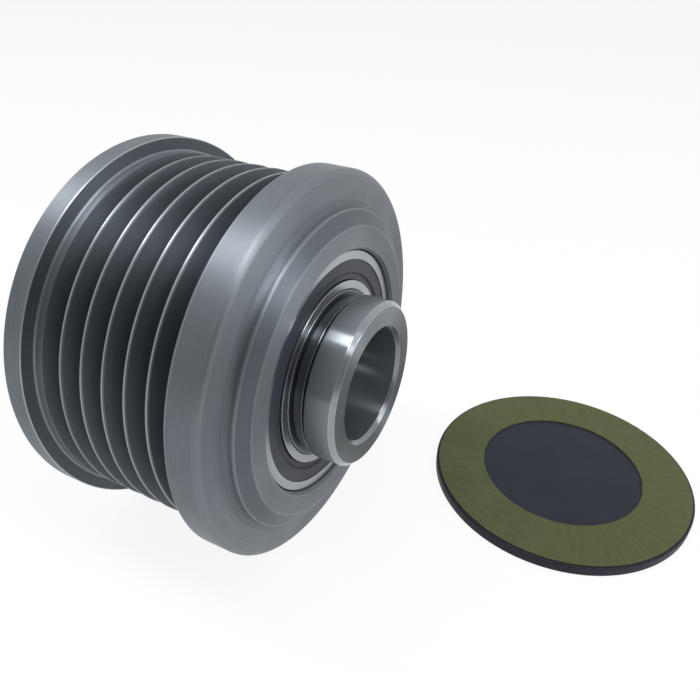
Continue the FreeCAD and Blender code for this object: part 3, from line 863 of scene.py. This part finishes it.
@dataclass
class Hub:
    """The hub: nose collar, grooved neck, bearing seats, spigot bore, thread and splined tool socket."""

    steps: int = 264
    cap_end: float = -12.2
    nose_end: float = 24.646
    end_chamfer: float = 0.4
    neck_groove_radius: float = 11.3
    neck_groove_width: float = 0.4
    neck_radius: float = 11.85
    collar_start: float = 20.046
    collar_radius: float = 12.4
    collar_back_chamfer: float = 0.35
    collar_nose_chamfer: float = 0.62
    spigot_radius: float = 8.5
    spigot_chamfer: float = 0.5
    spigot_start: float = 12.796
    thread_radius: float = 7.19
    thread_depth: float = 0.81
    thread_pitch: float = 1.5
    thread: Pair = (-3.514, 11.486)
    rows_per_pitch: int = 12
    spline_count: int = 33
    spline_tip: float = 7.75
    spline_depth: float = 0.7
    spline_margin: float = 0.01
    spline_rungs: tuple[int, int] = (2, 6)
    relief_radius: float = 8.7
    relief: Pair = (-6.124, -5.024)
    socket_mouth_radius: float = 8.75
    socket_mouth_depth: float = 1.0
    bore_limit: float = 9.4
    bore_edge: float = 0.02
    edge: float = 0.08
    # Painted shade on the neck, the nose end face and the spigot's mouth chamfer.
    neck_painted_shade: float = 0.8
    end_painted_shade: float = 0.45
    mouth_painted_shade: float = 0.3

    def section(self) -> Section:
        """Draw the hub, with rows close enough along the bore to carry the thread.

        Returns:
            its outline.
        """
        rows = round((self.thread[1] - self.thread[0]) / self.thread_pitch * self.rows_per_pitch)
        groove_end = NOSE_BEARING_FACE + self.neck_groove_width
        neck_end = self.collar_start - self.neck_groove_width
        return Section([
            Corner(self.cap_end, self.socket_mouth_radius),
            Corner(self.cap_end, BEARING_BORE_RADIUS - self.end_chamfer, self.edge),
            Corner(self.cap_end + self.end_chamfer, BEARING_BORE_RADIUS, self.edge),
            # Painted shade in the neck's grooves and on the steps down into them.
            Corner(NOSE_BEARING_FACE, BEARING_BORE_RADIUS, painted_side_shade=1.0),
            Corner(NOSE_BEARING_FACE, self.neck_groove_radius, painted_side_shade=1.0),
            Corner(groove_end, self.neck_groove_radius, painted_side_shade=1.0),
            Corner(groove_end, self.neck_radius, painted_side_shade=self.neck_painted_shade),
            Corner(neck_end, self.neck_radius, painted_side_shade=1.0),
            Corner(neck_end, self.neck_groove_radius, painted_side_shade=1.0),
            Corner(self.collar_start, self.neck_groove_radius, painted_side_shade=self.neck_painted_shade),
            Corner(self.collar_start, self.collar_radius - self.collar_back_chamfer, self.edge),
            Corner(self.collar_start + self.collar_back_chamfer, self.collar_radius, self.edge),
            Corner(self.nose_end - self.collar_nose_chamfer, self.collar_radius, self.edge),
            Corner(self.nose_end, self.collar_radius - self.collar_nose_chamfer, self.edge,
                   self.end_painted_shade),
            Corner(self.nose_end, self.spigot_radius + self.spigot_chamfer, self.edge, self.mouth_painted_shade),
            Corner(self.nose_end - self.spigot_chamfer, self.spigot_radius, self.edge),
            Corner(self.spigot_start, self.spigot_radius),
            Corner(self.thread[1], self.thread_radius, self.bore_edge, rungs=rows),
            Corner(self.thread[0], self.thread_radius, self.bore_edge),
            Corner(self.relief[1], self.relief_radius),
            Corner(self.relief[0], self.relief_radius),
            Corner(self.relief[0], self.spline_tip, self.bore_edge, rungs=self.spline_rungs[0]),
            Corner(self.cap_end + self.socket_mouth_depth, self.spline_tip, self.bore_edge,
                   rungs=self.spline_rungs[1]),
        ])

    def build(self, shop: Workshop) -> None:
        """Make the hub and hand it over.

        Args:
            shop: makes the piece.
        """
        finish = HUB_STEEL.material()
        piece = shop.turned("turned_hub", self.section(), self.steps, finish)
        shop.modify(piece, shop.bore, {
            "Bore limit": self.bore_limit * MM,
            "Thread radius": self.thread_radius * MM, "Thread depth": self.thread_depth * MM,
            "Thread pitch": self.thread_pitch * MM,
            "Thread from": self.thread[0] * MM, "Thread to": self.thread[1] * MM,
            "Spline radius": self.spline_tip * MM, "Spline depth": self.spline_depth * MM,
            "Spline count": float(self.spline_count),
            "Splines to": (self.relief[0] + self.spline_margin) * MM,
            "Finish": finish,
        })
        shop.hand_over(shop.settle(piece), Body.HUB, "hub")


@dataclass
class Bearing:
    """The rings and the outward seal of one ball bearing, whose outer face stands at a station."""

    name: str
    face: float
    outward: int
    steps: int = 224
    width: float = 7.0
    inner_land: float = 13.95
    seal_radius: float = 17.0
    inner_shoulder: float = 14.4
    outer_shoulder: float = 16.6
    ball_circle: float = 15.5
    raceway: float = 1.85
    raceway_half_width: float = 1.4874
    raceway_fullness: float = 0.86
    raceway_rounding: float = 1.0
    seat_depth: float = 1.15
    chamfer: float = 0.3
    seal_lip: float = 14.03
    lip_width: float = 0.7425
    lip_slope: float = 0.37125
    seal_play: float = 0.02
    seal_recess: float = 0.15
    seal_thickness: float = 0.9
    seal_step: float = 0.2
    edge: float = 0.06

    def at(self, depth: float) -> float:
        """The station at a depth under the outer face."""
        return self.face - self.outward * depth

    def ring(self, wall: float, land: float, shoulder: float, raceway: float) -> Section:
        """Draw a ring, which is the same from both faces to its middle.

        Args:
            wall: the radius of the fitted side.
            land: the radius of the seal's seat.
            shoulder: the radius of the shoulder beside the raceway.
            raceway: the deepest radius of the raceway.

        Returns:
            its outline.
        """
        inward = 1.0 if land > wall else -1.0
        start = self.width / 2 - self.raceway_half_width
        floor = shoulder + (raceway - shoulder) * self.raceway_fullness
        corners = [
            Corner(self.chamfer, wall),
            Corner(0.0, wall + inward * self.chamfer, self.edge),
            Corner(0.0, land, self.edge),
            Corner(self.seat_depth, land),
            Corner(self.seat_depth, shoulder),
            Corner(start, shoulder),
            Corner(start + self.raceway_half_width / 2, floor, self.raceway_rounding),
        ]
        corners += [replace(corner, station=self.width - corner.station) for corner in reversed(corners)]
        return Section([replace(corner, station=self.at(corner.station)) for corner in corners])

    def seal(self) -> Section:
        """Draw the outward seal, with the step where its metal core ends.

        Returns:
            its outline.
        """
        step = self.seal_recess + self.seal_step
        inside = self.seal_recess + self.seal_thickness
        core = self.seal_lip + self.lip_width
        rim = self.seal_radius - self.seal_play
        return Section([
            Corner(self.at(step), self.seal_lip, self.edge),
            Corner(self.at(step), core, self.edge),
            Corner(self.at(self.seal_recess), core + self.lip_slope, self.edge),
            Corner(self.at(self.seal_recess), rim, self.edge),
            Corner(self.at(inside), rim),
            Corner(self.at(inside), self.seal_lip),
        ])

    def build(self, shop: Workshop, steel: Material, rubber: Material) -> None:
        """Make the pieces that show and hand them over.

        Args:
            shop: makes the pieces.
            steel: the rings' material.
            rubber: the seal's material.
        """
        deepest = self.ball_circle + self.raceway
        shallow = self.ball_circle - self.raceway
        outer = self.ring(BEARING_OUTER_RADIUS, self.seal_radius, self.outer_shoulder, deepest)
        inner = self.ring(BEARING_BORE_RADIUS, self.inner_land, self.inner_shoulder, shallow)
        side = "nose_side_seal" if self.outward > 0 else "cap_side_seal"
        plan = (
            ("outer_ring", outer, steel, Body.PULLEY, Slot.BEARING_STEEL),
            ("inner_ring", inner, steel, Body.HUB, Slot.BEARING_STEEL),
            (side, self.seal(), rubber, Body.PULLEY, Slot.SEAL_RUBBER),
        )
        for part, section, finish, body, slot in plan:
            piece = shop.turned(f"fine_{self.name}_{part}", section, self.steps, finish)
            shop.hand_over(shop.settle(piece), body, f"{self.name}_{part}")


@dataclass
class DustCap:
    """The moulded dust cap with its gasket, lying with the sealing side up."""

    steps: int = 288
    radius: float = 23.2
    thickness: float = 1.8
    rim_rounding: float = 0.3
    dish_radius: float = 12.0
    dish_draft: float = 1.0
    dish_depth: float = 0.4
    dish_rounding: float = 0.3
    gasket_outer: float = 22.75
    gasket_inner: float = 14.3
    gasket_bed: float = 1.25
    gasket_thickness: float = 0.8
    edge: float = 0.08

    def place(self) -> Matrix:
        """Where a piece that was turned about the shaft axis lies on the floor."""
        spot = Vector((*CAP_CENTRE, FLOOR_HEIGHT)) * MM
        return Matrix.Translation(spot) @ Matrix.Rotation(-math.pi / 2, 4, "X")

    def cap_section(self) -> Section:
        """Draw the cap, from the middle of its dished outside to the middle of its inside.

        Returns:
            its outline.
        """
        return Section([
            Corner(self.dish_depth, 0.0),
            Corner(self.dish_depth, self.dish_radius - self.dish_draft, self.dish_rounding),
            Corner(0.0, self.dish_radius, self.dish_rounding),
            Corner(0.0, self.radius, self.rim_rounding),
            Corner(self.thickness, self.radius, self.rim_rounding),
            Corner(self.thickness, self.gasket_outer),
            Corner(self.gasket_bed, self.gasket_outer),
            Corner(self.gasket_bed, self.gasket_inner),
            Corner(self.thickness, self.gasket_inner),
            Corner(self.thickness, 0.0),
        ], closed=False)

    def gasket_section(self) -> Section:
        """Draw the gasket.

        Returns:
            its outline.
        """
        top = self.gasket_bed + self.gasket_thickness
        return Section([
            Corner(self.gasket_bed, self.gasket_inner),
            Corner(self.gasket_bed, self.gasket_outer),
            Corner(top, self.gasket_outer, self.edge),
            Corner(top, self.gasket_inner, self.edge),
        ])

    def build(self, shop: Workshop) -> None:
        """Make the cap and the gasket and hand them over.

        Args:
            shop: makes the pieces.
        """
        cap = shop.turned("moulded_dust_cap", self.cap_section(), self.steps, CAP_PLASTIC.material())
        shop.hand_over(shop.settle(cap, self.place()), Body.PULLEY, "dust_cap")
        gasket = shop.turned("olive_cap_gasket", self.gasket_section(), self.steps, GASKET.material())
        shop.hand_over(shop.settle(gasket, self.place()), Body.PULLEY, "dust_cap_gasket")


class HiddenPieces:
    """The clutch, balls, cages and inward seals, which keep their shape and get their finishes."""

    FINISHES = {
        RACE_STEEL: ("clutch_outer_race", "clutch_inner_race"),
        BALL_STEEL: ("clutch_rollers", "nose_bearing_balls", "cap_bearing_balls"),
        CAGE_PLASTIC: ("clutch_cage", "nose_bearing_cage", "cap_bearing_cage"),
        SPRING_STEEL: ("clutch_springs",),
    }
    INWARD_SEALS = ("nose_bearing_cap_side_seal", "cap_bearing_nose_side_seal")

    def dress(self, nodes: dict[str, Object], rubber: Material) -> None:
        """Give each hidden node its finish.

        Args:
            nodes: the frame's nodes by name.
            rubber: the inward seals' material.
        """
        plan = [(finish.material(), names) for finish, names in self.FINISHES.items()]
        for material, names in [*plan, (rubber, self.INWARD_SEALS)]:
            for name in names:
                for slot in nodes[name].material_slots:
                    slot.material = material
                LOG.info("%s: %s", name, material.name)


# Studio

@dataclass
class Lamp:
    """A soft panel lamp, by place and size in metres and by radiance."""

    name: str
    place: Triple
    width: float
    length: float
    radiance: float

    def hang(self, target: Vector) -> None:
        """Hang the lamp so that it looks at a point, with its length along the shaft.

        Args:
            target: the point.
        """
        light = bpy.data.lights.new(self.name, "AREA")
        light.shape = "RECTANGLE"
        light.size = self.width
        light.size_y = self.length
        light.energy = self.radiance * math.pi * self.width * self.length
        lamp = added(self.name, light)
        lamp.location = self.place
        back = (Vector(self.place) - target).normalized()
        side = Vector(SHAFT_AXIS).cross(back).normalized()
        lamp.rotation_euler = Matrix((side, back.cross(side), back)).transposed().to_euler()


@dataclass
class Studio:
    """Pale floor, soft light and the camera at the photograph's viewing angle."""

    image_size: int = 700
    focal_pixels: float = 644.3
    centre_pixel: Pair = (361.0, 374.0)
    camera_place: Triple = (-69.54, -56.38, 53.27)
    forward: Triple = (0.746, 0.3639, -0.5577)
    right: Triple = (0.4585, -0.888, 0.034)
    sensor: float = 36.0
    floor_size: float = 6.0
    floor_colour: Colour = (0.9, 0.9, 0.9)
    floor_glow: float = 0.9
    world_strength: float = 0.3
    room_in_mirrors: Pair = (1.0, 0.2)
    dim_side: Triple = (-0.75, -0.6, 0.28)
    dim_edges: Pair = (-0.1, 0.9)
    lamp_target: Triple = (0.005, -0.02, 0.0)
    lamps: list[Lamp] = field(default_factory=lambda: [
        Lamp("strip_lamp", (-0.075, -0.05, 0.49), 0.12, 1.3, 8.4),
        Lamp("front_lamp", (0.2, -0.55, 0.15), 0.14, 0.14, 12.0),
    ])

    def build(self) -> None:
        """Set up the camera, the world, the lamps and the floor."""
        self.hang_camera()
        self.light_world()
        for lamp in self.lamps:
            lamp.hang(Vector(self.lamp_target))
        self.lay_floor()
        bpy.context.scene.view_settings.view_transform = "Standard"

    def hang_camera(self) -> None:
        """Put the camera where the photograph was taken from."""
        data = bpy.data.cameras.new("photo_camera")
        data.sensor_width = self.sensor
        data.lens = self.focal_pixels * self.sensor / self.image_size
        data.shift_x = (self.image_size / 2 - self.centre_pixel[0]) / self.image_size
        data.shift_y = (self.centre_pixel[1] - self.image_size / 2) / self.image_size
        data.clip_start = MM
        data.clip_end = 2 * self.floor_size
        camera = added("photo_camera", data)
        back = -Vector(self.forward).normalized()
        up = back.cross(Vector(self.right)).normalized()
        turn = Matrix((up.cross(back), up, back)).transposed().to_4x4()
        camera.matrix_world = Matrix.Translation(Vector(self.camera_place) * MM) @ turn
        bpy.context.scene.camera = camera

    def rays(self, sheet: Sheet) -> tuple[Socket, Socket]:
        """Mark the rays.

        Args:
            sheet: the nodes that shade what the rays meet.

        Returns:
            1 for a ray from the camera, also through glass, and 1 for one from a glossy surface.
        """
        path = sheet.node("ShaderNodeLightPath").outputs
        direct = sheet.math("MAXIMUM", path["Is Camera Ray"], path["Is Transmission Ray"])
        return direct, path["Is Glossy Ray"]

    def mirrored_room(self, sheet: Sheet) -> Socket:
        """The room's brightness in metal: dimmer on the side that the photograph was taken from.

        Args:
            sheet: the world's nodes.

        Returns:
            the brightness.
        """
        way = sheet.node("ShaderNodeTexCoord").outputs["Generated"]
        towards = sheet.node("ShaderNodeVectorMath", way, self.dim_side, operation="DOT_PRODUCT")
        return sheet.node("ShaderNodeMapRange", towards.outputs["Value"], *self.dim_edges,
                          *self.room_in_mirrors, interpolation_type="SMOOTHSTEP").outputs[0]

    def light_world(self) -> None:
        """A white room that lights the object softly and looks dimmer in its metal."""
        world = bpy.data.worlds.new("white_room")
        world.use_nodes = True
        bpy.context.scene.world = world
        sheet = Sheet(world.node_tree)
        soft, dim, full = (
            sheet.node("ShaderNodeBackground", WHITE, strength).outputs[0]
            for strength in (self.world_strength, self.mirrored_room(sheet), 1.0)
        )
        direct, mirrored = self.rays(sheet)
        lit = sheet.node("ShaderNodeMixShader", mirrored, soft, dim).outputs[0]
        mixed = sheet.node("ShaderNodeMixShader", direct, lit, full).outputs[0]
        sheet.node("ShaderNodeOutputWorld", mixed)

    def lay_floor(self) -> None:
        """The pale floor that the pulley and its cap lie on."""
        half = self.floor_size / 2
        corners = [(-half, -half), (half, -half), (half, half), (-half, half)]
        mesh = bpy.data.meshes.new("pale_floor")
        mesh.from_pydata([(x, y, FLOOR_HEIGHT * MM) for x, y in corners], [], [(0, 1, 2, 3)])
        sheet = Shader("pale_floor")
        matte = sheet.node("ShaderNodeBsdfDiffuse", opaque(self.floor_colour)).outputs[0]
        glow = sheet.node("ShaderNodeEmission", WHITE, 1.0).outputs[0]
        share = sheet.math("MULTIPLY", sheet.math("MAXIMUM", *self.rays(sheet)), self.floor_glow)
        mixed = sheet.node("ShaderNodeMixShader", share, matte, glow).outputs[0]
        sheet.node("ShaderNodeOutputMaterial", mixed)
        mesh.materials.append(sheet.material)
        added("pale_floor", mesh)


def main() -> None:
    """Build the pulley's looks round the frame."""
    logging.basicConfig(level=logging.INFO, format="%(name)s: %(message)s")
    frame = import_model()
    shop = Workshop()
    steel = RING_STEEL.material()
    rubber = SEAL_RUBBER.material()
    PulleyRing().build(shop)
    Hub().build(shop)
    Bearing("nose_bearing", NOSE_BEARING_FACE, 1).build(shop, steel, rubber)
    Bearing("cap_bearing", CAP_BEARING_FACE, -1).build(shop, steel, rubber)
    DustCap().build(shop)
    HiddenPieces().dress(frame["nodes"], rubber)
    Studio().build()


if __name__ == "__main__":
    main()
